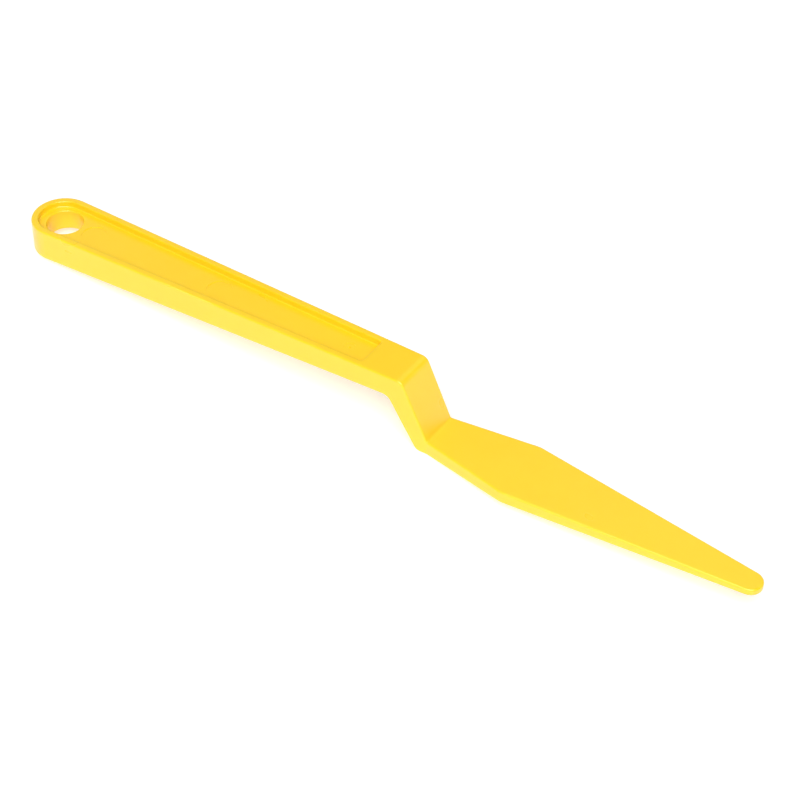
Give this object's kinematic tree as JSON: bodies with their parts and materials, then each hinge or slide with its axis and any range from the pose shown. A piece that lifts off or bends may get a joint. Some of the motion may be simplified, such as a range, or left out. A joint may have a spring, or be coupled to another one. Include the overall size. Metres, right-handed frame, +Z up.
{
  "type": "spudger tool",
  "caption": "Cranked plastic spudger: slim handle hollowed on top and back, with a hanging hole, a down-turned crank and a flat leaf-shaped prying blade.",
  "frame": {"origin": "middle of the box of the lying tool, on the table it lies on: the end of the handle and the heel of the crank touch z = 0", "axes": "+X runs from the hanging hole towards the tip of the blade, +Y across the tool, +Z up from the table; the handle's top face rises 5.1 degrees towards the crank"},
  "size_m": [0.181, 0.016, 0.0163],
  "materials": {
    "yellow_plastic": "satin moulded"
  },
  "bodies": {
    "root": {"spudger_body": "yellow_plastic"}
  },
  "joints": []
}
